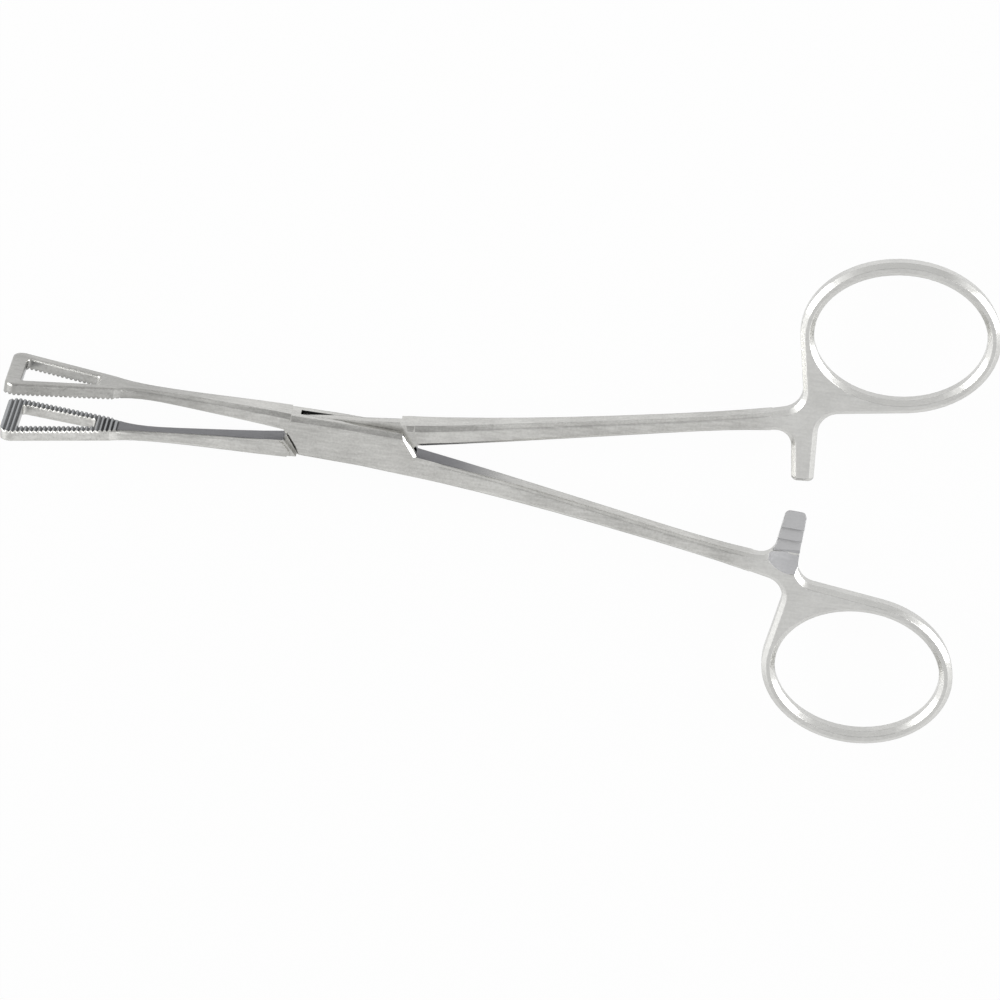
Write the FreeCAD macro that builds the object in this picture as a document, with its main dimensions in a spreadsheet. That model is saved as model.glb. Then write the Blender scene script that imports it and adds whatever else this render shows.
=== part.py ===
import FreeCAD, Part
import os
import Sketcher

# Tissue grasping forceps with loop jaws, a box lock and finger rings.
# Each half is drawn closed, in its own frame: the origin on the pin's axis in the middle of the
# thickness, +X towards the ring, +Y towards its jaw's back, +Z across the flat of the instrument.
# The second half is the same forging turned over about X, as the two halves of a box lock are; its
# finger ring and ratchet arm are a little longer.

doc = FreeCAD.newDocument("forceps")
sizes = doc.addObject("Spreadsheet::Sheet", "Sizes")
row = 0


def put(alias, value):
    global row
    row += 1
    sizes.set(f"A{row}", alias)
    sizes.set(f"B{row}", str(value))
    sizes.setAlias(f"B{row}", alias)


# Driving sizes in millimetres and degrees; "past" is how far a cut runs beyond what it cuts

DRIVING = {
    "lock_thickness": 5.0,
    "lock_half_width": 3.0,
    "lock_shank_side": 3.3,
    "lock_arm_fall": 0.2,
    "lock_spread_from": 2.0,
    "lock_spread": 0.31,
    "lock_edge_across": 0.85,
    "lock_edge_through": 0.32,
    "lock_end_break": 0.4,
    "wall_corner_along": 7.76,
    "wall_root_along": 10.35,
    "wall_root_across": 0.25,
    "arm_start": 9.6,
    "shank_start": 9.8,
    "shoulder_gap": 0.28,
    "shoulder_break": 0.44,
    "shoulder_break_angle": 45.0,
    "room_past": 0.4,
    "tongue_thickness": 1.8,
    "tongue_clearance": 0.04,
    "pin_diameter": 2.6,
    "pin_clearance": 0.03,
    "rest_half_angle": 3.1,
    "jaw_tip": 53.35,
    "jaw_apex": 36.9,
    "jaw_width": 15.4,
    "jaw_apex_width": 5.6,
    "jaw_corner_radius": 1.6,
    "jaw_tip_depth": 1.82,
    "jaw_apex_depth": 2.35,
    "jaw_apex_opening": 0.52,
    "jaw_touch_gap": 0.03,
    "jaw_edge_round": 0.35,
    "jaw_front_bar": 2.35,
    "jaw_back_bar": 2.5,
    "window_front_width": 9.9,
    "window_back_width": 3.5,
    "window_corner_radius": 0.5,
    "groove_pitch": 0.7,
    "groove_depth": 0.28,
    "groove_width": 0.46,
    "groove_first": 52.65,
    "groove_count": 25,
    "groove_past": 0.1,
    "female_ring_past_neck": 19.5,
    "female_ring_length": 25.7,
    "female_ring_width": 19.9,
    "male_ring_past_neck": 18.5,
    "male_ring_length": 26.4,
    "male_ring_width": 20.1,
    "ring_across": 23.1,
    "ring_wall": 2.05,
    "ring_thickness": 3.2,
    "ring_bevel": 0.72,
    "neck_along": 64.0,
    "neck_inner": 6.8,
    "neck_outer": 9.75,
    "ratchet_past_neck": 3.1,
    "ratchet_width": 4.05,
    "ratchet_lean": 0.7,
    "ratchet_foot_drop": 0.155,
    "female_ratchet_tip": 0.65,
    "male_ratchet_tip": 1.2,
    "ratchet_inner_radius": 2.4,
    "ratchet_outer_radius": 3.2,
    "ratchet_tip_radius": 0.9,
    "neck_drop": 1.05,
    "neck_radius": 3.2,
    "web_left_angle": 174.0,
    "web_right_angle": 83.5,
    "tooth_pitch": 1.9,
    "tooth_height": 0.6,
    "tooth_parting": 0.05,
    "tooth_first": 2.05,
    "landing_past_neck": 6.4,
    "landing_across": 3.8,
    "landing_radius": 5.1,
    "landing_run": 2.7,
    "past": 1.0,
}

# Sections along the jaw's arm and along the shank: share of the run, lower edge, upper edge, half
# thickness, then the bevels: lower edge across and through, upper edge across and through

ARM_SECTIONS = {
    "arm_lock": (0.0, 0.27, 3.00, 2.50, 0.40, 0.35, 0.80, 0.40),
    "arm_heel": (0.161, 0.47, 2.97, 2.16, 0.40, 0.35, 0.72, 0.42),
    "arm_waist": (0.381, 0.61, 2.81, 1.76, 0.38, 0.34, 0.62, 0.42),
    "arm_slender": (0.582, 0.75, 2.67, 1.50, 0.36, 0.32, 0.54, 0.50),
    "arm_thin": (0.747, 0.86, 2.54, 1.44, 0.32, 0.30, 0.46, 0.42),
    "arm_flare": (0.879, 0.80, 2.45, 1.72, 0.30, 0.30, 0.38, 0.36),
    "arm_apex": (1.0, 0.52, 2.35, 2.8, 0.28, 0.30, 0.30, 0.30),
}
SHANK_SECTIONS = {
    "shank_lock": (0.0, -3.63, -0.36, 2.50, 0.90, 0.40, 0.45, 0.35),
    "shank_fore": (0.0775, -3.89, -0.78, 2.32, 0.88, 0.45, 0.45, 0.40),
    "shank_long": (0.225, -4.58, -1.66, 1.98, 0.72, 0.52, 0.48, 0.44),
    "shank_mid": (0.4096, -5.58, -2.92, 1.72, 0.58, 0.52, 0.50, 0.48),
    "shank_slender": (0.631, -6.94, -4.55, 1.62, 0.54, 0.50, 0.50, 0.48),
    "shank_rear": (0.834, -8.34, -6.02, 1.60, 0.52, 0.50, 0.50, 0.48),
    "shank_neck": (1.0, -9.75, -6.80, 1.60, 0.50, 0.50, 0.50, 0.50),
}
SECTION_SIZES = ("share", "low", "high", "half", "low_across", "low_through", "high_across",
                 "high_through")

# What the end sections take from the piece that they run into
TIES = {
    "arm_lock": {"half": "Sizes.lock_thickness / 2"},
    "arm_apex": {"low": "Sizes.jaw_apex_opening", "high": "Sizes.jaw_apex_depth",
                 "half": "Sizes.jaw_apex_width / 2"},
    "shank_lock": {"half": "Sizes.lock_thickness / 2"},
    "shank_neck": {"low": "-Sizes.neck_outer", "high": "-Sizes.neck_inner",
                   "half": "Sizes.ring_thickness / 2"},
}

for alias, value in DRIVING.items():
    put(alias, value)
for sections in (ARM_SECTIONS, SHANK_SECTIONS):
    for place, values in sections.items():
        for size, value in zip(SECTION_SIZES, values):
            put(f"{place}_{size}", value)
doc.recompute()


def number(text):
    return float(sizes.evalExpression(text))


def origin_feature(body, role):
    return next(o for o in body.Origin.OriginFeatures if o.Role == role)


def new_sketch(body, name, plane, along=None):
    sketch = body.newObject("Sketcher::SketchObject", name)
    sketch.AttachmentSupport = [(origin_feature(body, plane), "")]
    sketch.MapMode = "FlatFace"
    if along:
        sketch.setExpression(".AttachmentOffset.Base.z", along)
    return sketch


def pin_point(sketch, line, end, across, up):
    for kind, text in (("DistanceX", across), ("DistanceY", up)):
        held = sketch.addConstraint(Sketcher.Constraint(kind, -1, 1, line, end, number(text)))
        sketch.setExpression(f"Constraints[{held}]", text)


# How near an edge lies to the place that names it, and how flat a level edge is
NEAR = 0.4
LEVEL = 1e-4


# A closed outline whose every corner is held by two sizes
def outline(sketch, corners):
    points = [FreeCAD.Vector(number(x), number(y), 0) for x, y in corners]
    first = sketch.GeometryCount
    count = len(points)
    for k in range(count):
        sketch.addGeometry(Part.LineSegment(points[k], points[(k + 1) % count]), False)
    for k in range(count):
        follower = first + (k + 1) % count
        sketch.addConstraint(Sketcher.Constraint("Coincident", first + k, 2, follower, 1))
    for k, (x, y) in enumerate(corners):
        pin_point(sketch, first + k, 1, x, y)


def eight_sides(low, high, half, low_across, low_through, high_across, high_through):
    return [
        (f"{low} + {low_across}", f"-{half}"),
        (f"{high} - {high_across}", f"-{half}"),
        (high, f"-{half} + {high_through}"),
        (high, f"{half} - {high_through}"),
        (f"{high} - {high_across}", half),
        (f"{low} + {low_across}", half),
        (low, f"{half} - {low_through}"),
        (low, f"-{half} + {low_through}"),
    ]


def ellipse(sketch, along, across, length, width):
    centre = FreeCAD.Vector(number(along), number(across), 0)
    shape = Part.Ellipse(centre, number(length) / 2, number(width) / 2)
    curve = sketch.addGeometry(shape, False)
    sketch.exposeInternalGeometry(curve)
    major = curve + 1
    minor = curve + 2
    sketch.addConstraint(Sketcher.Constraint("Horizontal", major))
    pin_point(sketch, curve, 3, along, across)
    for axis, text in ((major, length), (minor, width)):
        held = sketch.addConstraint(Sketcher.Constraint("Distance", axis, number(text)))
        sketch.setExpression(f"Constraints[{held}]", text)


# Faces are kept as they come: merging those on one ellipse loses part of the ring
def new_feature(body, kind, name):
    feature = body.newObject(f"PartDesign::{kind}", name)
    feature.Refine = False
    return feature


def pad(body, sketch, name, thickness, reversed_side=False, both=True):
    feature = new_feature(body, "Pad", name)
    feature.Profile = sketch
    feature.Midplane = both
    feature.Reversed = reversed_side
    feature.setExpression("Length", thickness)
    sketch.Visibility = False
    doc.recompute()
    return feature


def check_cut(feature, before):
    if feature.Shape.Volume > before - 0.001:
        raise RuntimeError(f"{feature.Name} takes nothing away")


def pocket(body, sketch, name, depth, reversed_side=False, both=True):
    before = body.Tip.Shape.Volume
    feature = new_feature(body, "Pocket", name)
    feature.Profile = sketch
    feature.Midplane = both
    feature.Reversed = reversed_side
    feature.setExpression("Length", depth)
    sketch.Visibility = False
    doc.recompute()
    check_cut(feature, before)
    return feature


def join(body, piece, name):
    joined = new_feature(body, "Boolean", name)
    joined.Type = "Fuse"
    joined.setObjects([piece])
    doc.recompute()


def edges_of(feature, wanted):
    return [f"Edge{k + 1}" for k, edge in enumerate(feature.Shape.Edges) if wanted(edge)]


def round_edges(body, name, wanted, radius):
    base = body.Tip
    feature = new_feature(body, "Fillet", name)
    feature.Base = (base, edges_of(base, wanted))
    feature.setExpression("Radius", radius)
    doc.recompute()
    return feature


def break_edges(body, name, wanted, size, across=None):
    base = body.Tip
    feature = new_feature(body, "Chamfer", name)
    feature.Base = (base, edges_of(base, wanted))
    feature.setExpression("Size", size)
    if across:
        feature.ChamferType = "Two distances"
        feature.setExpression("Size2", across)
    doc.recompute()
    return feature


def standing(edge):
    if len(edge.Vertexes) != 2:
        return False
    a, b = (vertex.Point for vertex in edge.Vertexes)
    return abs(a.x - b.x) < LEVEL and abs(a.y - b.y) < LEVEL


def lying_near(along, side):
    def wanted(edge):
        box = edge.BoundBox
        level = box.XLength < LEVEL and box.ZLength < LEVEL
        near_along = abs(box.XMin + number(along)) < NEAR
        return level and near_along and abs(abs(box.ZMin) - number(side)) < NEAR
    return wanted


def upright_near(along, across):
    def wanted(edge):
        middle = edge.BoundBox.Center
        near = abs(middle.x - number(along)) < NEAR and abs(middle.y - number(across)) < NEAR
        return standing(edge) and near
    return wanted


def on_a_face(edge, level):
    box = edge.BoundBox
    return abs(box.ZMin - box.ZMax) < LEVEL and abs(abs(box.ZMin) - level) < LEVEL


def ring_centre(half):
    return f"(Sizes.neck_along + Sizes.{half}_ring_past_neck)", "(-Sizes.ring_across)"


# Half the ring's outer length and width
def ring_reach(half):
    length = f"(Sizes.{half}_ring_length / 2 + Sizes.ring_wall)"
    width = f"(Sizes.{half}_ring_width / 2 + Sizes.ring_wall)"
    return length, width


# Finger ring, web and ratchet arm: one flat plate, whose straight sides run into the ring on its
# tangents, with the finger hole through it and every rim bevelled
def add_ring_and_ratchet(body, half):
    along, across = ring_centre(half)
    length, width = ring_reach(half)
    left, right = "Sizes.web_left_angle", "Sizes.web_right_angle"
    ratchet_left = "Sizes.neck_along + Sizes.ratchet_past_neck"
    ratchet_right = f"{ratchet_left} + Sizes.ratchet_width"
    ratchet_foot = "-Sizes.neck_inner - Sizes.ratchet_foot_drop"
    tip = f"Sizes.{half}_ratchet_tip"
    neck_corner_y = "-Sizes.neck_outer - Sizes.neck_drop"
    neck_rise = "(Sizes.ring_across - Sizes.neck_outer - Sizes.neck_drop)"
    neck_corner_x = f"{along} + {length} * (1 - {neck_rise} * sin({left}) / {width}) / cos({left})"
    right_run = f"({ratchet_right} - {along})"
    right_corner_y = f"{across} + {width} * (1 - {right_run} * cos({right}) / {length}) / sin({right})"

    plate = new_sketch(body, "PlateOutline", "XY_Plane")
    corners = [
        (f"{along} + {length} * cos({right})", f"{across} + {width} * sin({right})"),
        (ratchet_right, right_corner_y),
        (ratchet_right, tip),
        (f"{ratchet_left} + Sizes.ratchet_lean", tip),
        (ratchet_left, ratchet_foot),
        ("Sizes.neck_along", "-Sizes.neck_inner"),
        ("Sizes.neck_along", "-Sizes.neck_outer"),
        (neck_corner_x, neck_corner_y),
        (f"{along} + {length} * cos({left})", f"{across} + {width} * sin({left})"),
    ]
    points = [FreeCAD.Vector(number(x), number(y), 0) for x, y in corners]
    for k in range(len(points) - 1):
        plate.addGeometry(Part.LineSegment(points[k], points[k + 1]), False)
    last = len(points) - 2
    for k in range(last):
        plate.addConstraint(Sketcher.Constraint("Coincident", k, 2, k + 1, 1))
    for k in range(1, len(points) - 1):
        pin_point(plate, k, 1, *corners[k])
    centre = FreeCAD.Vector(number(along), number(across), 0)
    whole = Part.Ellipse(centre, number(length), number(width))
    start, end = number(f"{left} * pi / 180"), number(f"{right} * pi / 180 + 2 * pi")
    arc = plate.addGeometry(Part.ArcOfEllipse(whole, start, end), False)
    plate.exposeInternalGeometry(arc)
    plate.addConstraint(Sketcher.Constraint("Horizontal", arc + 1))
    pin_point(plate, arc, 3, along, across)
    for axis, text in ((arc + 1, f"2 * {length}"), (arc + 2, f"2 * {width}")):
        held = plate.addConstraint(Sketcher.Constraint("Distance", axis, number(text)))
        plate.setExpression(f"Constraints[{held}]", text)
    plate.addConstraint(Sketcher.Constraint("Coincident", last, 2, arc, 1))
    plate.addConstraint(Sketcher.Constraint("Coincident", arc, 2, 0, 1))
    for kind, line, end_point, text in (
            ("DistanceX", 0, 1, corners[0][0]), ("DistanceY", last, 2, corners[-1][1])):
        held = plate.addConstraint(
            Sketcher.Constraint(kind, -1, 1, line, end_point, number(text)))
        plate.setExpression(f"Constraints[{held}]", text)
    pad(body, plate, "Plate", "Sizes.ring_thickness")

    rounds = (
        ("OuterFillet", ratchet_right, right_corner_y, "Sizes.ratchet_outer_radius"),
        ("TipRight", ratchet_right, tip, "Sizes.ratchet_tip_radius"),
        ("TipLeft", f"{ratchet_left} + Sizes.ratchet_lean", tip, "Sizes.ratchet_tip_radius"),
        ("InnerFillet", ratchet_left, ratchet_foot, "Sizes.ratchet_inner_radius"),
        ("NeckFillet", neck_corner_x, neck_corner_y, "Sizes.neck_radius"),
    )
    for name, x, y, radius in rounds:
        round_edges(body, name, upright_near(x, y), radius)

    hole = new_sketch(body, "FingerHoleOutline", "XY_Plane")
    ellipse(hole, along, across, f"Sizes.{half}_ring_length", f"Sizes.{half}_ring_width")
    pocket(body, hole, "FingerHole", "2 * Sizes.ring_thickness")

    level, neck = number("Sizes.ring_thickness") / 2, number("Sizes.neck_along")

    def rim(edge):
        return on_a_face(edge, level) and edge.BoundBox.XMax > neck + LEVEL
    break_edges(body, "RimBevels", rim, "Sizes.ring_bevel")


# Saw teeth of the ratchet, cut from the +Z side, with the milled landing behind them
def add_ratchet_teeth(body):
    start = "Sizes.neck_along + Sizes.ratchet_past_neck - Sizes.past / 3"
    teeth = new_sketch(body, "ToothProfile", "YZ_Plane", start)
    ridge = "-Sizes.tooth_parting"
    root = "-Sizes.tooth_parting - Sizes.tooth_height"
    above = "Sizes.ring_thickness / 2 + Sizes.past"
    beyond_tip = "2 * Sizes.tooth_pitch - Sizes.tooth_first"
    last = "-Sizes.tooth_first - 2 * Sizes.tooth_pitch"
    outline(teeth, [
        (beyond_tip, above),
        (beyond_tip, "-Sizes.tooth_parting - 2 * Sizes.tooth_height"),
        ("-Sizes.tooth_first", ridge),
        ("-Sizes.tooth_first", root),
        ("-Sizes.tooth_first - Sizes.tooth_pitch", ridge),
        ("-Sizes.tooth_first - Sizes.tooth_pitch", root),
        (last, ridge),
        (last, above),
    ])
    run = "Sizes.ratchet_width + 1.5 * Sizes.past"
    pocket(body, teeth, "RatchetTeeth", run, reversed_side=True, both=False)

    before = body.Tip.Shape.Volume
    landing = new_feature(body, "SubtractiveCone", "Landing")
    depth = "(Sizes.ring_thickness / 2 + Sizes.tooth_parting)"
    landing.setExpression("Radius1", "Sizes.landing_radius - Sizes.landing_run")
    landing.setExpression(
        "Radius2", f"Sizes.landing_radius + Sizes.landing_run * Sizes.past / {depth}")
    landing.setExpression("Height", f"{depth} + Sizes.past")
    landing.AttachmentSupport = [(origin_feature(body, "XY_Plane"), "")]
    landing.MapMode = "FlatFace"
    landing.setExpression(
        ".AttachmentOffset.Base.x", "Sizes.neck_along + Sizes.landing_past_neck")
    landing.setExpression(".AttachmentOffset.Base.y", "-Sizes.landing_across")
    landing.setExpression(".AttachmentOffset.Base.z", ridge)
    doc.recompute()
    check_cut(landing, before)


# One eight-sided section of the forging, square to X
def section(body, place, along):
    name = "".join(word.capitalize() for word in place.split("_"))
    sketch = new_sketch(body, name, "YZ_Plane", along)
    texts = [TIES.get(place, {}).get(size, f"Sizes.{place}_{size}") for size in SECTION_SIZES[1:]]
    outline(sketch, eight_sides(*texts))
    sketch.Visibility = False
    return sketch


def add_loft(body, name, places, start, end):
    run = f"({end} - {start})"
    profiles = [section(body, place, f"{start} + {run} * Sizes.{place}_share") for place in places]
    doc.recompute()
    feature = new_feature(body, "AdditiveLoft", name)
    feature.Profile = profiles[0]
    feature.Sections = profiles[1:]
    feature.Ruled = False
    doc.recompute()
    return feature


# The slant of the lock's ends: its run along X and its climb along Y
SLANT_RUN = "(Sizes.wall_root_along - Sizes.wall_corner_along)"
SLANT_CLIMB = "(Sizes.lock_half_width + Sizes.wall_root_across)"


# The lock's blank: slanted ends where the other half's shoulders come to rest
def add_lock_block(body):
    block = doc.addObject("PartDesign::Body", body.Name + "_lock")
    blank = new_sketch(block, "LockOutline", "XY_Plane")
    wider = "(Sizes.lock_shank_side - Sizes.lock_half_width)"
    shank_corner = f"Sizes.wall_corner_along - {SLANT_RUN} * {wider} / {SLANT_CLIMB}"
    upper = [
        ("Sizes.wall_root_along", "-Sizes.wall_root_across"),
        ("Sizes.wall_corner_along", "Sizes.lock_half_width"),
        ("-Sizes.lock_spread_from", "Sizes.lock_half_width"),
        ("-Sizes.arm_start", "Sizes.lock_half_width - Sizes.lock_arm_fall"),
    ]
    lower = [
        ("-Sizes.wall_root_along", "Sizes.wall_root_across"),
        (f"-({shank_corner})", "-Sizes.lock_shank_side"),
        ("Sizes.lock_spread_from", "-Sizes.lock_shank_side"),
        ("Sizes.shank_start", "-Sizes.lock_shank_side - Sizes.lock_spread"),
    ]
    outline(blank, upper + lower)
    pad(block, blank, "LockBlank", "Sizes.lock_thickness")
    level = number("Sizes.lock_thickness") / 2
    side = number("Sizes.lock_half_width - Sizes.lock_arm_fall")

    def along_the_lock(edge):
        box = edge.BoundBox
        return on_a_face(edge, level) and abs(box.Center.y) > side and box.XLength > NEAR

    def at_a_slanted_end(edge):
        box = edge.BoundBox
        return on_a_face(edge, level) and abs(box.Center.y) < side and box.XLength > NEAR
    break_edges(block, "WallEnds", at_a_slanted_end, "Sizes.lock_end_break")
    break_edges(block, "LockEdges", along_the_lock, "Sizes.lock_edge_through",
                "Sizes.lock_edge_across")
    join(body, block, "LockBlock")


def add_jaw(body):
    window_front = "(Sizes.jaw_tip - Sizes.jaw_front_bar)"
    window_back = "(Sizes.jaw_apex + Sizes.jaw_back_bar)"
    jaw = doc.addObject("PartDesign::Body", body.Name + "_jaw")
    plan = new_sketch(jaw, "JawPlan", "XZ_Plane")
    outline(plan, [
        ("-Sizes.jaw_tip", "-Sizes.jaw_width / 2"),
        ("-Sizes.jaw_apex", "-Sizes.jaw_apex_width / 2"),
        ("-Sizes.jaw_apex", "Sizes.jaw_apex_width / 2"),
        ("-Sizes.jaw_tip", "Sizes.jaw_width / 2"),
    ])
    outline(plan, [
        (f"-{window_front}", "-Sizes.window_front_width / 2"),
        (f"-{window_back}", "-Sizes.window_back_width / 2"),
        (f"-{window_back}", "Sizes.window_back_width / 2"),
        (f"-{window_front}", "Sizes.window_front_width / 2"),
    ])
    pad(jaw, plan, "JawLoop", "Sizes.jaw_apex_depth", reversed_side=True, both=False)
    corners = (
        ("JawCorners", "Sizes.jaw_tip", "Sizes.jaw_width / 2", "Sizes.jaw_corner_radius"),
        ("WindowFront", window_front, "Sizes.window_front_width / 2",
         "Sizes.window_corner_radius"),
        ("WindowBack", window_back, "Sizes.window_back_width / 2",
         "Sizes.window_corner_radius"),
    )
    for name, along, side, radius in corners:
        round_edges(jaw, name, lying_near(along, side), radius)

    back = new_sketch(jaw, "JawBackSlope", "XY_Plane")
    outline(back, [
        ("-Sizes.jaw_tip - Sizes.past", "Sizes.jaw_tip_depth"),
        ("-Sizes.jaw_apex", "Sizes.jaw_apex_depth"),
        ("-Sizes.jaw_apex", "Sizes.jaw_apex_depth + Sizes.past"),
        ("-Sizes.jaw_tip - Sizes.past", "Sizes.jaw_apex_depth + Sizes.past"),
    ])
    across = "Sizes.jaw_width + 2 * Sizes.past"
    pocket(jaw, back, "JawBack", across)

    face = new_sketch(jaw, "JawFaceSlope", "XY_Plane")
    outline(face, [
        ("-Sizes.jaw_tip - Sizes.past", "Sizes.jaw_touch_gap"),
        ("-Sizes.jaw_apex", "Sizes.jaw_apex_opening"),
        ("-Sizes.jaw_apex", "-Sizes.past"),
        ("-Sizes.jaw_tip - Sizes.past", "-Sizes.past"),
    ])
    pocket(jaw, face, "JawFace", across)

    apex, apex_depth = number("Sizes.jaw_apex"), number("Sizes.jaw_apex_depth")
    fall = "(Sizes.jaw_apex_depth - Sizes.jaw_tip_depth)"
    slope = number(f"{fall} / (Sizes.jaw_tip + Sizes.past - Sizes.jaw_apex)")

    def on_the_back(edge):
        middle = edge.valueAt((edge.FirstParameter + edge.LastParameter) / 2)
        level = apex_depth + slope * (middle.x + apex)
        return middle.x < -apex - LEVEL and abs(middle.y - level) < LEVEL
    round_edges(jaw, "JawEdges", on_the_back, "Sizes.jaw_edge_round")
    join(body, jaw, "Jaw")


# Cross serrations: one groove repeated along the sloping face
def add_serrations(body):
    groove = new_sketch(body, "GrooveProfile", "XY_Plane")
    end = "(Sizes.jaw_tip + Sizes.past)"
    rise = f"(Sizes.jaw_apex_opening - Sizes.jaw_touch_gap) / ({end} - Sizes.jaw_apex)"
    level = f"Sizes.jaw_touch_gap + {rise} * ({end} - Sizes.groove_first)"
    side = "Sizes.groove_width / 2 * (1 + Sizes.groove_past / Sizes.groove_depth)"
    outline(groove, [
        (f"-Sizes.groove_first - {side}", f"{level} - Sizes.groove_past"),
        (f"-Sizes.groove_first + {side}", f"{level} - Sizes.groove_past"),
        ("-Sizes.groove_first", f"{level} + Sizes.groove_depth"),
    ])
    near_end = FreeCAD.Vector(-number("Sizes.groove_first"), number(level), 0)
    far_end = near_end + FreeCAD.Vector(1, number(rise), 0)
    guide = groove.addGeometry(Part.LineSegment(near_end, far_end), True)
    pin_point(groove, guide, 1, "-Sizes.groove_first", level)
    pin_point(groove, guide, 2, "-Sizes.groove_first + 1", f"{level} + {rise}")
    pocket(body, groove, "Groove", "Sizes.jaw_width + 2 * Sizes.past")
    row_of_grooves = new_feature(body, "LinearPattern", "Serrations")
    row_of_grooves.Originals = [body.Group[-2]]
    row_of_grooves.Direction = (groove, ["Axis0"])
    row_of_grooves.setExpression("Length", "Sizes.groove_pitch * (Sizes.groove_count - 1)")
    row_of_grooves.setExpression("Occurrences", "Sizes.groove_count")
    body.Tip = row_of_grooves
    doc.recompute()


# Room that each half leaves for the other in the lock, with slanted ends. The same outline is the
# slot between the walls of one half and the pair of recesses beside the tongue of the other.
def lock_room(body, name, level=None, wider="0"):
    sketch = new_sketch(body, name, "XY_Plane", level)
    corner_x = f"Sizes.wall_corner_along + Sizes.shoulder_gap + {wider}"
    top_x = f"{corner_x} - Sizes.room_past * {SLANT_RUN}"
    top_y = f"Sizes.lock_half_width + Sizes.room_past * {SLANT_CLIMB}"
    low_x = f"{corner_x} + (1 + Sizes.room_past) * {SLANT_RUN}"
    low_y = f"(1 + Sizes.room_past) * {SLANT_CLIMB} - Sizes.lock_half_width"
    far_x, far_y = "Sizes.wall_root_along + Sizes.past", "Sizes.lock_half_width + 2 * Sizes.past"
    outline(sketch, [
        (f"-({top_x})", top_y),
        (f"-({low_x})", f"-({low_y})"),
        (f"-({far_x})", f"-({far_y})"),
        (top_x, f"-({top_y})"),
        (low_x, low_y),
        (far_x, far_y),
    ])
    return sketch


def cut_slot(body):
    room = lock_room(body, "SlotOutline")
    pocket(body, room, "Slot", "Sizes.tongue_thickness + 2 * Sizes.tongue_clearance")


def cut_recesses(body):
    upper = lock_room(body, "UpperRecessOutline", "Sizes.tongue_thickness / 2")
    pocket(body, upper, "UpperRecess", "Sizes.lock_thickness", reversed_side=True, both=False)
    lower = lock_room(body, "LowerRecessOutline", "-Sizes.tongue_thickness / 2")
    pocket(body, lower, "LowerRecess", "Sizes.lock_thickness", both=False)
    for side, name, flip in (("", "UpperShoulders", False), ("-", "LowerShoulders", True)):
        level = f"{side}Sizes.lock_thickness / 2"
        edge = lock_room(body, f"{name}Outline", level, "Sizes.shoulder_break")
        bevel = pocket(body, edge, name, "Sizes.lock_end_break", reversed_side=flip, both=False)
        bevel.setExpression("TaperAngle", "Sizes.shoulder_break_angle")
        doc.recompute()
        check_cut(bevel, bevel.BaseFeature.Shape.Volume)


def circle_on_the_axis(body, name, diameter):
    sketch = new_sketch(body, name, "XY_Plane")
    centre, upright = FreeCAD.Vector(0, 0, 0), FreeCAD.Vector(0, 0, 1)
    curve = sketch.addGeometry(Part.Circle(centre, upright, number(diameter) / 2), False)
    sketch.addConstraint(Sketcher.Constraint("Coincident", curve, 3, -1, 1))
    held = sketch.addConstraint(Sketcher.Constraint("Diameter", curve, number(diameter)))
    sketch.setExpression(f"Constraints[{held}]", diameter)
    return sketch


def drill_for_pin(body, diameter):
    bore = circle_on_the_axis(body, "PinBoreOutline", diameter)
    pocket(body, bore, "PinBore", "Sizes.lock_thickness + 2 * Sizes.past")


def build_half(label, half):
    body = doc.addObject("PartDesign::Body", label)
    body.Label = label
    add_ring_and_ratchet(body, half)
    add_ratchet_teeth(body)
    add_loft(body, "Shank", list(SHANK_SECTIONS)[::-1], "Sizes.shank_start", "Sizes.neck_along")
    add_lock_block(body)
    add_loft(body, "Arm", list(ARM_SECTIONS), "-Sizes.arm_start", "-Sizes.jaw_apex")
    add_jaw(body)
    add_serrations(body)
    return body


female = build_half("female_half", "female")
cut_slot(female)
drill_for_pin(female, "Sizes.pin_diameter")
upright = FreeCAD.Vector(0, 0, 1)
female.Placement = FreeCAD.Placement(
    FreeCAD.Vector(0, 0, 1), FreeCAD.Rotation(upright, -number("Sizes.rest_half_angle")))
female.setExpression("Placement.Base.z", "Sizes.lock_thickness / 2")

male = build_half("male_half", "male")
cut_recesses(male)
drill_for_pin(male, "Sizes.pin_diameter + 2 * Sizes.pin_clearance")
turned_over = FreeCAD.Rotation(FreeCAD.Vector(1, 0, 0), 180)
opened = FreeCAD.Rotation(upright, number("Sizes.rest_half_angle"))
male.Placement = FreeCAD.Placement(FreeCAD.Vector(0, 0, 1), opened.multiply(turned_over))
male.setExpression("Placement.Base.z", "Sizes.lock_thickness / 2")

pin = doc.addObject("PartDesign::Body", "lock_pin")
pin.Label = "lock_pin"
shaft = circle_on_the_axis(pin, "PinOutline", "Sizes.pin_diameter")
pad(pin, shaft, "PinShaft", "Sizes.lock_thickness")
pin.setExpression("Placement.Base.z", "Sizes.lock_thickness / 2")
doc.recompute()

for item in doc.Objects:
    if "Invalid" in item.State or "Error" in item.State:
        raise RuntimeError(f"{item.Name}: {item.State}")
nodes = (female, male, pin)
for node in nodes:
    if node.Shape.isNull() or not node.Shape.isValid() or len(node.Shape.Solids) != 1:
        raise RuntimeError(f"{node.Label} is not one valid solid")
os.makedirs("parts", exist_ok=True)
for node in nodes:
    node.Shape.exportStep(f"parts/{node.Label}.step")
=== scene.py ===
import bpy
from mathutils import Matrix, Vector


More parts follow.
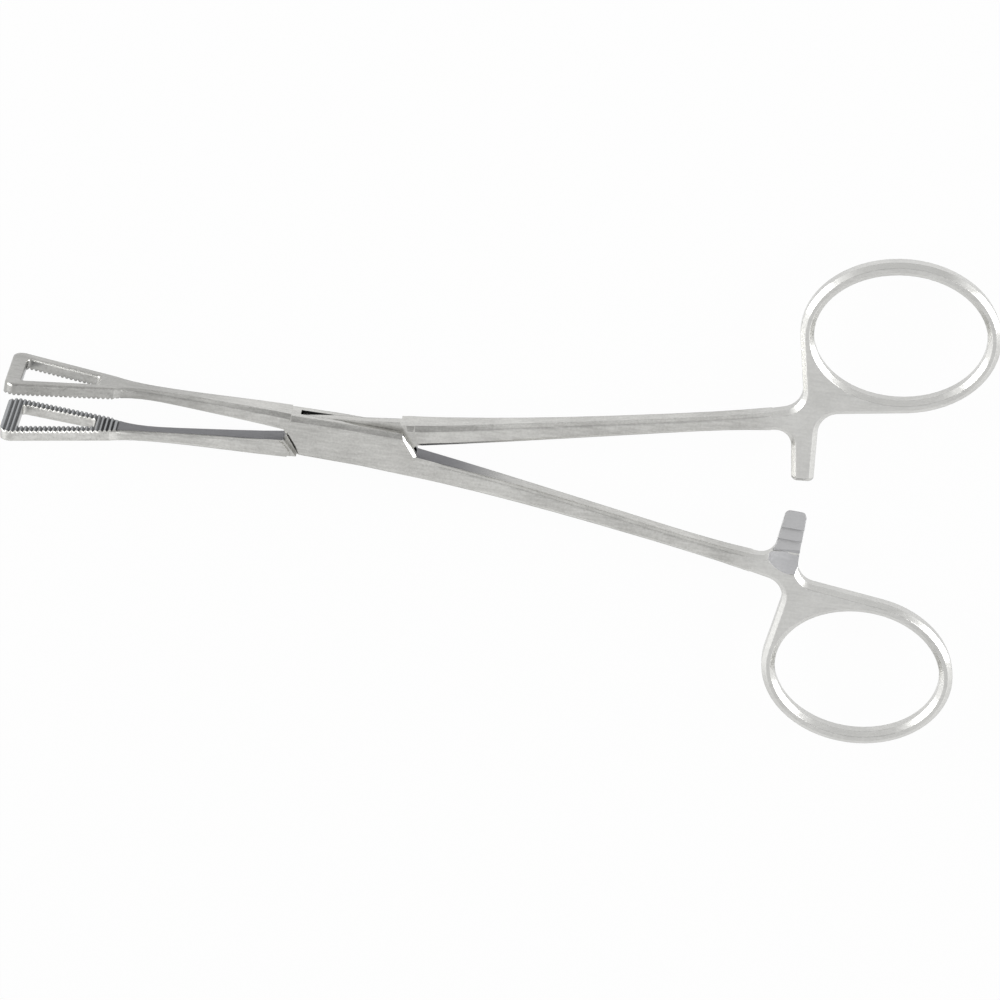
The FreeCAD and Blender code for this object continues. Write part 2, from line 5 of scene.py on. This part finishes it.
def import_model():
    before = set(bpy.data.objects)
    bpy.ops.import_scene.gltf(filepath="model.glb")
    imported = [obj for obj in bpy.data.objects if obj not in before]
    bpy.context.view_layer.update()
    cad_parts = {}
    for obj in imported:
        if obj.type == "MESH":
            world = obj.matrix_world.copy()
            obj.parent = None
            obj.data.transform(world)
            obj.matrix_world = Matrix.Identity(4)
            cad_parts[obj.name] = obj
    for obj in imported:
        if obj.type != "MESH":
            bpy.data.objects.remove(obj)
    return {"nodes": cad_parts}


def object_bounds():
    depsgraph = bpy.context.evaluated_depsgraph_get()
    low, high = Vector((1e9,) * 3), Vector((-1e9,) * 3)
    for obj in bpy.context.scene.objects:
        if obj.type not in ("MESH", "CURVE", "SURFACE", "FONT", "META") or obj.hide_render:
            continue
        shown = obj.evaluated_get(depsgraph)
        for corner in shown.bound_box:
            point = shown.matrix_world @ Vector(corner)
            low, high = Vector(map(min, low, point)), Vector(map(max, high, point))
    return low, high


# Satin steel tissue grasping forceps on a pale sheet, in the shared frame: metres, +Z up, the
# origin under the lock's pin, +X towards the finger rings.

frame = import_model()
cad_low, cad_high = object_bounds()
nodes = frame["nodes"]

MILLIMETRE = 0.001

# The photograph's view: where the middle of the picture falls on the object, and the camera
# placed from there, in millimetres
VIEW_TARGET = Vector((23.89, -7.00, 2.5))
VIEW_TOWARDS_CAMERA = Vector((-0.0062, 0.3601, 0.9329)).normalized()
VIEW_RIGHT = Vector((0.9923, 0.1180, -0.0390))
VIEW_DISTANCE = 923.1
VIEW_LENS = 216.0
SENSOR = 36.0
CLIP = (0.01, 10.0)

# The satin lies between two tones, and the other finishes, painted shade and a painted highlight
# are laid over it
SATIN_DEEP = (0.56, 0.555, 0.533, 1.0)
SATIN_LIGHT = (0.79, 0.785, 0.757, 1.0)
HANDLE_TONE = (0.78, 0.78, 0.765, 1.0)
HANDLE_TONE_SHARE = 0.5
FINISHES_AND_PAINTED_LIGHT = (
    # Painted shade: the walls that face the other half are darkened where it shades them, and are
    # made rougher as well
    ("inner_wall_shade_and_roughness", (0.24, 0.24, 0.254, 1.0)),
    ("ratchet", (0.46, 0.46, 0.465, 1.0)),
    ("landing", (0.49, 0.49, 0.498, 1.0)),
    # Painted highlight: the bevels of the lock's shoulders, near white
    ("shoulder_highlight", (0.97, 0.97, 0.96, 1.0)),
    ("grip", (0.42, 0.43, 0.445, 1.0)),
    # Painted shade in the jaws' grooves: the flanks that face -X are darker than those that face
    # +X
    ("left_flank_painted_shade", (0.02, 0.022, 0.025, 1.0)),
    ("right_flank_painted_shade", (0.09, 0.095, 0.10, 1.0)),
)
# Painted shade in the slot and on the slotted half's jaw
SLOT_PAINTED_SHADE = (0.03, 0.03, 0.03, 1.0)
UPPER_JAW_PAINTED_SHADE = (0.72, 0.72, 0.72, 1.0)

BEVEL_ROUGHNESS, FLAT_ROUGHNESS = 0.17, 0.34
ROUGHER = (("inner_wall_shade_and_roughness", 0.22), ("ratchet", 0.36), ("landing", 0.3))
BRUSHING_DEPTH = 0.00001
BEVEL_BRUSHING, FLAT_BRUSHING = 0.05, 0.8

# Noise: its scale per metre and its roughness, how far the brushing is drawn out along X, and
# how the noises are shared and spread over the tones and the roughness
GRAIN = (2600.0, 0.65)
BRUSHING = (2200.0, 0.6)
CLOUDS = (130.0, 0.5)
NOISE_DETAIL = 3.0
DRAWN_OUT = (0.12, 1.0, 1.0)
CLOUDS_SHARE = 0.35
GRAIN_SHARE = 0.5
TONES = (0.39, 0.61)
UNEVEN_ROUGHNESS = (0.3, 0.7, -0.05, 0.05)

# Soft limits, each from where the finish starts to where it is whole: places along X or from the
# pin's axis, in metres
CROTCH = (0.030, 0.014)
HANDLE = (0.058, 0.066)
UPPER_JAW = (-0.014, -0.032)
BEFORE_GRIP = (-0.0358, -0.0356)
PAST_LOCK = (0.0098, 0.0102)
PAST_ARM_START = (-0.0096, -0.0100)
PAST_SEAM_START = (0.0091, 0.0093)
PAST_ROOT = (0.0692, 0.0694)
TEETH_END = (0.0102, 0.0098)
SLOT_END = (0.0120, 0.0116)
OFF_PIN = (0.0022, 0.0028)
LOCK_MIDDLE = (0.0074, 0.0068)
OFF_LOCK = (0.0125, 0.016)

# Soft limits of one part of the surface's direction, which is 1 where it faces along that axis
LEVEL = (0.90, 0.99)
STEEP = (0.75, 0.45)
UPRIGHT_WALL = (0.3, 0.15)
FACING_IN = (0.35, 0.6)
FACING_JAW = (0.1, -0.1)
FACING_TEETH = (-0.1, 0.1)
ROOT_TURN = (0.25, 0.35)
SEAM_TURN = (0.63, 0.65)
SHOULDER_TURN = (-0.3, -0.4)
SLOT_FLOOR = (0.7, 0.9)

# Bands: both limits, and how soft they are
TEETH_ALONG = (0.0643, 0.0745, 0.0002)
TEETH_TURN = (0.78, 0.988, 0.004)
LANDING_ALONG = (0.0660, 0.0708, 0.0001)
LANDING_ACROSS = (0.00932, 0.0127, 0.00004)
LANDING_TURN = (0.3, 0.988, 0.004)
BEVEL_TURN = (0.55, 0.85, 0.01)
BY_LOCK = (0.0070, 0.0122, 0.0001)
LEFT_FLANK_TURN = (-0.95, -0.35, 0.02)
RIGHT_FLANK_TURN = (0.35, 0.95, 0.02)
SLOT_THROUGH = (0.0015, 0.0035, 0.00002)
AT_NECK = (0.0628, 0.0652, 0.0002)
AT_JAW = (-0.0384, -0.0356, 0.0003)

# The ratchet arm's foot runs slightly aslant: where it is met, and how much it falls along X
FOOT_ALONG, FOOT_SLANT = 0.068, 0.054

# Worn edges: their radius on the arms and on the handles, in metres
ARM_EDGE, HANDLE_EDGE = 0.0005, 0.0002
EDGE_SAMPLES = 6
SHOULDER_LEVELLING = 0.62

WHITE = (1.0, 1.0, 1.0, 1.0)
FLOOR_SIZE = 3.0
FLOOR_GAP = 0.0002
FLOOR_COLOUR = (0.7, 0.7, 0.7, 1.0)
FLOOR_TO_CAMERA = 0.96
FLOOR_THROUGH_GLASS = 0.3

# How white the steel sees the floor: from here to there in metres, from this to that
FLOOR_CLOSE_BY = (0.1, 0.3, 0.45, 0.95)
FLOOR_BEYOND = (0.05, 0.12, 1.0, 0.4)

# The studio's strength as light, behind the object, and as the steel shows it: at both ends,
# beyond the object low down, and where the photographer stands
STUDIO_LIGHT = 0.55
BACKDROP = 1.0
ENDS, ENDS_STRENGTH = (0.4, 0.85), (0.74, 1.15)
BEYOND, LOW_DOWN, BEYOND_STRENGTH = (0.75, 0.95), (0.32, 0.18), (1.0, 0.45)
PHOTOGRAPHER, PHOTOGRAPHER_STRENGTH = (0.78, 0.98), (1.0, 0.62)

LEFT_SOFTBOX = Vector((-0.75, 0.25, 0.32))
RIGHT_SOFTBOX = Vector((0.80, 0.25, 0.32))
SOFTBOX_AIM = Vector((0.024, -0.007, 0.0))
SOFTBOX_SIZE = (0.5, 0.9)
SOFTBOX_POWER = 6.0


class Shader:
    """Short forms for building the nodes of a material or of the world."""

    def __init__(self, owner):
        owner.use_nodes = True
        self.tree = owner.node_tree
        self.tree.nodes.clear()

    def node(self, kind, **settings):
        made = self.tree.nodes.new(kind)
        for key, value in settings.items():
            setattr(made, key, value)
        return made

    def link(self, source, target):
        self.tree.links.new(source, target)

    def feed(self, socket, value):
        if isinstance(value, bpy.types.NodeSocket):
            self.link(value, socket)
        else:
            socket.default_value = value

    def math(self, operation, *values, clamp=False):
        made = self.node("ShaderNodeMath", operation=operation, use_clamp=clamp)
        for socket, value in zip(made.inputs, values):
            self.feed(socket, value)
        return made.outputs[0]

    def product(self, first, *others):
        for other in others:
            first = self.math("MULTIPLY", first, other)
        return first

    def unless(self, mask):
        return self.math("SUBTRACT", 1.0, mask)

    def ramp(self, value, low, high, to_low=0.0, to_high=1.0, curve="SMOOTHSTEP"):
        made = self.node("ShaderNodeMapRange", clamp=True, interpolation_type=curve)
        for socket, given in zip(made.inputs, (value, low, high, to_low, to_high)):
            self.feed(socket, given)
        return made.outputs[0]

    def blend(self, share, to_low, to_high):
        return self.ramp(share, 0.0, 1.0, to_low, to_high)

    def within(self, value, low, high, soft):
        above = self.ramp(value, low - soft, low + soft)
        below = self.ramp(value, high + soft, high - soft)
        return self.math("MULTIPLY", above, below)

    def mix(self, share, first, second, kind="MIX"):
        made = self.node("ShaderNodeMix", data_type="RGBA", blend_type=kind)
        self.feed(made.inputs["Factor"], share)
        self.feed(made.inputs[6], first)
        self.feed(made.inputs[7], second)
        return made.outputs[2]

    def mix_shaders(self, share, first, second):
        made = self.node("ShaderNodeMixShader")
        for socket, given in zip(made.inputs, (share, first, second)):
            self.link(given, socket)
        return made.outputs[0]

    def noise(self, place, scale, roughness):
        made = self.node("ShaderNodeTexNoise")
        self.link(place, made.inputs["Vector"])
        made.inputs["Scale"].default_value = scale
        made.inputs["Detail"].default_value = NOISE_DETAIL
        made.inputs["Roughness"].default_value = roughness
        return made.outputs["Fac"]

    def split(self, vector):
        made = self.node("ShaderNodeSeparateXYZ")
        self.link(vector, made.inputs[0])
        return made.outputs

    def end(self, kind, surface):
        self.link(surface, self.node(kind).inputs["Surface"])


class Surface:
    """Where a point lies and which way it faces, in the part's own frame."""

    def __init__(self, s, side):
        places = s.node("ShaderNodeTexCoord")
        self.place = places.outputs["Object"]
        self.spot = s.split(self.place)
        self.normal = s.split(places.outputs["Normal"])
        self.upright = s.math("ABSOLUTE", self.normal["Z"])
        self.along = s.math("ABSOLUTE", self.spot["X"])
        self.across = s.math("ABSOLUTE", self.spot["Y"])
        self.flat = s.ramp(self.upright, *LEVEL)
        end = s.math("SIGN", self.spot["X"])
        turned = s.math("MULTIPLY", self.normal["Y"], end)
        self.inward = s.ramp(s.math("MULTIPLY", turned, side), *FACING_IN)
        self.outward = s.math("MULTIPLY", self.normal["X"], end)
        self.bevel = s.within(self.upright, *BEVEL_TURN)
        self.handle = s.ramp(self.spot["X"], *HANDLE)


# Where the finishes, the painted shade and the painted highlight lie on the half, each as a mask
# from 0 to 1. The side says which way the half's shank lies, so that the walls that face the
# other half, the teeth and the jaw's face are found.
def finish_and_painted_light_masks(s, at, side):
    masks = {}
    # The walls that face the other half: painted shade, and more roughness
    masks["inner_wall_shade_and_roughness"] = s.product(
        s.ramp(at.upright, *STEEP), at.inward, s.ramp(at.spot["X"], *CROTCH),
        s.ramp(at.along, *PAST_LOCK), s.ramp(at.spot["X"], *BEFORE_GRIP))

    teeth = s.product(s.within(at.spot["X"], *TEETH_ALONG), s.ramp(at.across, *TEETH_END),
                      s.within(at.upright, *TEETH_TURN))
    from_foot = s.math("MULTIPLY", s.math("SUBTRACT", at.spot["X"], FOOT_ALONG), FOOT_SLANT)
    from_foot = s.math("ADD", at.across, from_foot)
    root = s.product(s.ramp(at.spot["X"], *PAST_ROOT), s.ramp(at.normal["X"], *ROOT_TURN))
    landing = s.product(
        s.within(at.spot["X"], *LANDING_ALONG), s.within(from_foot, *LANDING_ACROSS),
        s.within(at.upright, *LANDING_TURN), s.unless(root))
    toothed_side = s.ramp(s.math("MULTIPLY", at.normal["Z"], side), *FACING_TEETH)
    masks["landing"] = s.product(landing, toothed_side)
    masks["ratchet"] = s.product(s.math("MAXIMUM", teeth, landing), toothed_side)

    by_lock = s.product(s.within(at.along, *BY_LOCK), at.bevel)
    # Painted highlight on the bevels of the lock's shoulders, those that face the pin
    masks["shoulder_highlight"] = s.product(by_lock, s.ramp(at.outward, *SHOULDER_TURN))
    masks["seam"] = s.product(by_lock, s.ramp(at.outward, *SEAM_TURN),
                              s.ramp(at.along, *PAST_SEAM_START))
    masks["arm_bevel"] = s.product(at.inward, at.bevel, s.ramp(at.spot["X"], *PAST_ARM_START))

    masks["grip"] = s.product(
        s.ramp(at.spot["X"], *reversed(BEFORE_GRIP)), s.ramp(at.upright, *UPRIGHT_WALL),
        s.ramp(s.math("MULTIPLY", at.normal["Y"], side), *FACING_JAW))
    # Painted shade on the grooves' flanks, deeper on those that face -X
    masks["left_flank_painted_shade"] = s.product(masks["grip"], s.within(at.normal["X"], *LEFT_FLANK_TURN))
    masks["right_flank_painted_shade"] = s.product(masks["grip"], s.within(at.normal["X"], *RIGHT_FLANK_TURN))
    return masks


# Fine brushing along the length, over the grain of the satin
def brushed_texture(s, at):
    mapping = s.node("ShaderNodeMapping")
    s.link(at.place, mapping.inputs["Vector"])
    mapping.inputs["Scale"].default_value = DRAWN_OUT
    grain = s.noise(at.place, *GRAIN)
    brushing = s.noise(mapping.outputs[0], *BRUSHING)
    return s.math("ADD", s.math("MULTIPLY", grain, GRAIN_SHARE),
                  s.math("MULTIPLY", brushing, 1.0 - GRAIN_SHARE))


def steel_colour(s, at, masks, texture):
    clouds = s.math("MULTIPLY", s.noise(at.place, *CLOUDS), CLOUDS_SHARE)
    mottling = s.math("ADD", clouds, s.math("MULTIPLY", texture, 1.0 - CLOUDS_SHARE))
    tone = s.ramp(mottling, *TONES, curve="LINEAR")
    colour = s.mix(tone, SATIN_DEEP, SATIN_LIGHT)
    colour = s.mix(s.math("MULTIPLY", at.handle, HANDLE_TONE_SHARE), colour, HANDLE_TONE)
    for name, overlay in FINISHES_AND_PAINTED_LIGHT:
        colour = s.mix(masks[name], colour, overlay)
    return colour


# The half with the slot: painted shade makes its jaw a little darker and its slot dark within
def slotted_colour(s, at, colour):
    jaw = s.ramp(at.spot["X"], *UPPER_JAW)
    colour = s.mix(jaw, colour, UPPER_JAW_PAINTED_SHADE, kind="MULTIPLY")
    slot_shade = s.product(s.ramp(at.along, *SLOT_END), s.within(at.spot["Z"], *SLOT_THROUGH),
                       s.ramp(at.upright, *SLOT_FLOOR))
    return s.mix(slot_shade, colour, SLOT_PAINTED_SHADE)


# Edges are worn round in the shading, but not where the halves, the pin or a slope's corner meet
def worn_edges(s, at):
    from_pin = s.math("SQRT", s.math("ADD", s.math("POWER", at.spot["X"], 2.0),
                                     s.math("POWER", at.spot["Y"], 2.0)))
    on_lock = s.product(s.ramp(from_pin, *OFF_PIN), s.ramp(at.along, *LOCK_MIDDLE))
    worn = s.product(s.math("MAXIMUM", s.ramp(at.along, *OFF_LOCK), on_lock),
                     s.unless(s.within(at.along, *AT_NECK)),
                     s.unless(s.within(at.spot["X"], *AT_JAW)))
    edges = s.node("ShaderNodeBevel", samples=EDGE_SAMPLES)
    s.link(s.math("MULTIPLY", s.blend(at.handle, ARM_EDGE, HANDLE_EDGE), worn),
           edges.inputs["Radius"])
    return edges.outputs[0]


def brushed_normal(s, at, texture):
    bump = s.node("ShaderNodeBump")
    bump.inputs["Distance"].default_value = BRUSHING_DEPTH
    s.link(s.blend(at.flat, BEVEL_BRUSHING, FLAT_BRUSHING), bump.inputs["Strength"])
    s.link(texture, bump.inputs["Height"])
    s.link(worn_edges(s, at), bump.inputs["Normal"])
    return bump.outputs[0]


# Narrow bevels are shaded as the flat beside them, by the share given
def levelled_normal(s, at, normal, share):
    straight = s.node("ShaderNodeCombineXYZ")
    s.link(s.math("SIGN", at.normal["Z"]), straight.inputs["Z"])
    turn = s.node("ShaderNodeMix", data_type="VECTOR")
    s.link(share, turn.inputs[0])
    s.link(normal, turn.inputs[4])
    s.link(straight.outputs[0], turn.inputs[5])
    unit = s.node("ShaderNodeVectorMath", operation="NORMALIZE")
    s.link(turn.outputs[1], unit.inputs[0])
    return unit.outputs[0]


# Satin flats, polished bevels, a dull ratchet, rougher inner walls with painted shade, a painted
# highlight on the lock's shoulders, and painted shade in the jaws' grooves
def satin_steel(name, side, slotted=False):
    material = bpy.data.materials.new(name)
    s = Shader(material)
    at = Surface(s, side)
    masks = finish_and_painted_light_masks(s, at, side)
    texture = brushed_texture(s, at)
    shader = s.node("ShaderNodeBsdfPrincipled")
    shader.inputs["Metallic"].default_value = 1.0

    colour = steel_colour(s, at, masks, texture)
    if slotted:
        colour = slotted_colour(s, at, colour)
    s.link(colour, shader.inputs["Base Color"])

    rough = s.blend(at.flat, BEVEL_ROUGHNESS, FLAT_ROUGHNESS)
    for overlay, more in ROUGHER:
        rough = s.math("ADD", rough, s.math("MULTIPLY", masks[overlay], more))
    uneven = s.ramp(texture, *UNEVEN_ROUGHNESS)
    s.link(s.math("ADD", rough, uneven), shader.inputs["Roughness"])

    level = s.math("MAXIMUM", masks["seam"],
                   s.math("MULTIPLY", masks["shoulder_highlight"], SHOULDER_LEVELLING))
    if slotted:
        level = s.math("MAXIMUM", level, masks["arm_bevel"])
    normal = levelled_normal(s, at, brushed_normal(s, at, texture), level)
    s.link(normal, shader.inputs["Normal"])
    s.end("ShaderNodeOutputMaterial", shader.outputs[0])
    return material


def dress(name, material):
    piece = nodes[name]
    piece.data.materials.clear()
    piece.data.materials.append(material)
    piece.material_slots[0].link = "OBJECT"
    piece.material_slots[0].material = material


# A pale sheet under the lowest point, white where the camera or the steel sees it. The steel sees
# it greyer close by and beyond the upper ring.
def floor():
    bpy.ops.mesh.primitive_plane_add(size=FLOOR_SIZE, location=(0, 0, cad_low.z - FLOOR_GAP))
    sheet = bpy.context.object
    sheet.name = "floor"
    material = bpy.data.materials.new("pale_floor")
    s = Shader(material)
    diffuse = s.node("ShaderNodeBsdfDiffuse")
    diffuse.inputs["Color"].default_value = FLOOR_COLOUR
    glow = s.node("ShaderNodeEmission")
    glow.inputs["Color"].default_value = WHITE
    glow.inputs["Strength"].default_value = 1.0
    path = s.node("ShaderNodeLightPath").outputs
    place = s.node("ShaderNodeTexCoord").outputs["Object"]
    away = s.node("ShaderNodeVectorMath", operation="LENGTH")
    s.link(place, away.inputs[0])
    close_by = s.ramp(away.outputs["Value"], *FLOOR_CLOSE_BY)
    beyond = s.ramp(s.split(place)["Y"], *FLOOR_BEYOND)
    to_camera = s.math("MULTIPLY", path["Is Camera Ray"], FLOOR_TO_CAMERA)
    to_steel = s.product(path["Is Glossy Ray"], close_by, beyond)
    through = s.math("MULTIPLY", path["Is Transmission Ray"], FLOOR_THROUGH_GLASS)
    share = s.math("ADD", to_camera, s.math("ADD", to_steel, through), clamp=True)
    s.end("ShaderNodeOutputMaterial",
          s.mix_shaders(share, diffuse.outputs[0], glow.outputs[0]))
    sheet.data.materials.append(material)


# The studio as the steel shows it
def studio_in_steel(s):
    way = s.node("ShaderNodeTexCoord").outputs["Generated"]
    by_photographer = s.node("ShaderNodeVectorMath", operation="DOT_PRODUCT")
    s.link(way, by_photographer.inputs[0])
    by_photographer.inputs[1].default_value = VIEW_TOWARDS_CAMERA
    photographer = s.ramp(by_photographer.outputs["Value"], *PHOTOGRAPHER)
    parts = s.split(way)
    ends = s.ramp(s.math("ABSOLUTE", parts["X"]), *ENDS)
    beyond = s.product(s.ramp(parts["Y"], *BEYOND),
                       s.ramp(s.math("ABSOLUTE", parts["Z"]), *LOW_DOWN))
    return s.product(s.blend(ends, *ENDS_STRENGTH), s.blend(beyond, *BEYOND_STRENGTH),
                     s.blend(photographer, *PHOTOGRAPHER_STRENGTH))


def world():
    studio = bpy.data.worlds.new("studio")
    bpy.context.scene.world = studio
    s = Shader(studio)
    shades = []
    for strength in (STUDIO_LIGHT, studio_in_steel(s), BACKDROP):
        shade = s.node("ShaderNodeBackground")
        shade.inputs["Color"].default_value = WHITE
        s.feed(shade.inputs["Strength"], strength)
        shades.append(shade.outputs[0])
    light, in_steel, backdrop = shades
    path = s.node("ShaderNodeLightPath").outputs
    shown = s.mix_shaders(path["Is Glossy Ray"], light, in_steel)
    s.end("ShaderNodeOutputWorld", s.mix_shaders(path["Is Camera Ray"], shown, backdrop))


def softbox(name, place):
    data = bpy.data.lights.new(name, "AREA")
    data.shape = "RECTANGLE"
    data.size, data.size_y = SOFTBOX_SIZE
    data.energy = SOFTBOX_POWER
    lamp = bpy.data.objects.new(name, data)
    bpy.context.scene.collection.objects.link(lamp)
    lamp.location = place
    lamp.rotation_mode = "QUATERNION"
    lamp.rotation_quaternion = (SOFTBOX_AIM - place).to_track_quat("-Z", "Y")


def camera():
    data = bpy.data.cameras.new("camera")
    data.lens = VIEW_LENS
    data.sensor_width = SENSOR
    data.clip_start, data.clip_end = CLIP
    made = bpy.data.objects.new("camera", data)
    bpy.context.scene.collection.objects.link(made)
    backward = VIEW_TOWARDS_CAMERA
    right = (VIEW_RIGHT - backward * VIEW_RIGHT.dot(backward)).normalized()
    up = backward.cross(right)
    place = (VIEW_TARGET + VIEW_DISTANCE * backward) * MILLIMETRE
    turned = Matrix((right, up, backward)).transposed().to_4x4()
    made.matrix_world = Matrix.Translation(place) @ turned
    bpy.context.scene.camera = made


dress("female_half", satin_steel("satin_steel", 1.0, slotted=True))
dress("male_half", satin_steel("satin_steel_turned", -1.0))
dress("lock_pin", satin_steel("pin_steel", 1.0))
floor()
world()
softbox("left_softbox", LEFT_SOFTBOX)
softbox("right_softbox", RIGHT_SOFTBOX)
camera()
bpy.context.scene.view_settings.view_transform = "Standard"
